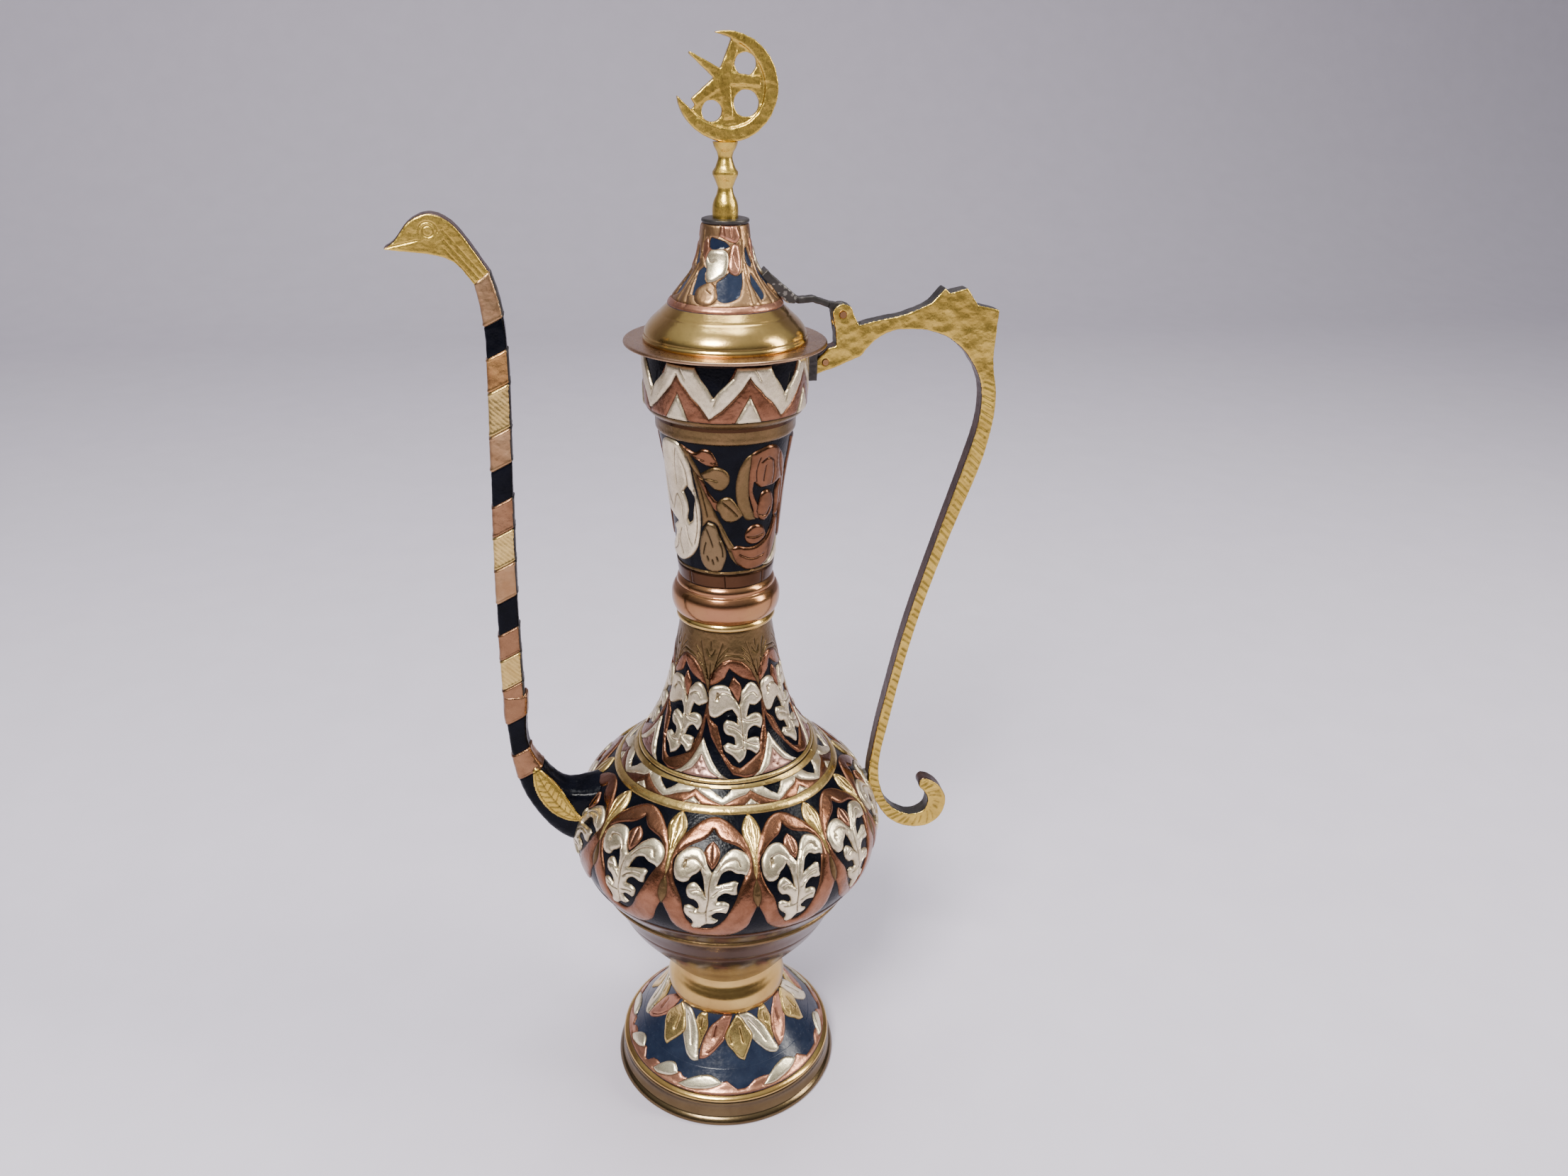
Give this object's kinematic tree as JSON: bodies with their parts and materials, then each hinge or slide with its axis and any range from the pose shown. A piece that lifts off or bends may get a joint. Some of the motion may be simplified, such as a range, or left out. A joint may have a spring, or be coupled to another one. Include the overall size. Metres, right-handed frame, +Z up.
{
  "type": "coffee pot",
  "caption": "Tall footed metal coffee pot with a flaring neck, a long bird-headed spout, a scrolled handle and a hinged conical lid topped by a crescent and star.",
  "frame": {"origin": "on the axis of the round body, in the plane of the foot rim that stands on the table", "axes": "+Z up along the body's axis, +X towards the handle, so the spout points to -X; +Y across the pot, away from a viewer who has the handle on the right"},
  "size_m": [0.2363, 0.1398, 0.4735],
  "materials": {
    "polished_brass": "polished, a little worn",
    "satin_brass": "satin, pinkish brown",
    "copper": "polished copper",
    "black_enamel": "gloss black enamel between raised metal",
    "navy_enamel": "gloss navy enamel",
    "gold_casting": "chiselled, worn gold colour",
    "dark_iron": "dull, darkened",
    "grey_solder": "rough solder"
  },
  "bodies": {
    "pot": {"foot_rim": "polished_brass", "foot_dome": "navy_enamel", "stem_collar": "polished_brass", "lower_bowl": "satin_brass", "belly_shell": "black_enamel", "neck_flare": "black_enamel", "neck_bead": "copper", "upper_neck": "black_enamel", "neck_band": "satin_brass", "mouth_collar": "copper", "rim_flange": "satin_brass", "hinge_pin": "copper", "handle": "gold_casting", "bracket_pad": "dark_iron", "bracket_rivet": "copper", "handle_solder": "grey_solder", "spout_root": "black_enamel", "spout_tube": "copper", "spout_head": "gold_casting"},
    "lid": {"lid_dome": "polished_brass", "lid_cone": "navy_enamel", "lid_cap": "dark_iron", "lid_sleeve": "satin_brass", "finial_stem": "gold_casting", "finial_nut": "polished_brass", "crescent_star": "gold_casting", "lid_lever": "dark_iron"}
  },
  "joints": [
    {"name": "lid_hinge", "type": "hinge", "parent": "pot", "child": "lid", "pos_m": [0.046, 0, 0.3733], "axis": [0, 1, 0], "range_deg": [0, 100]}
  ]
}
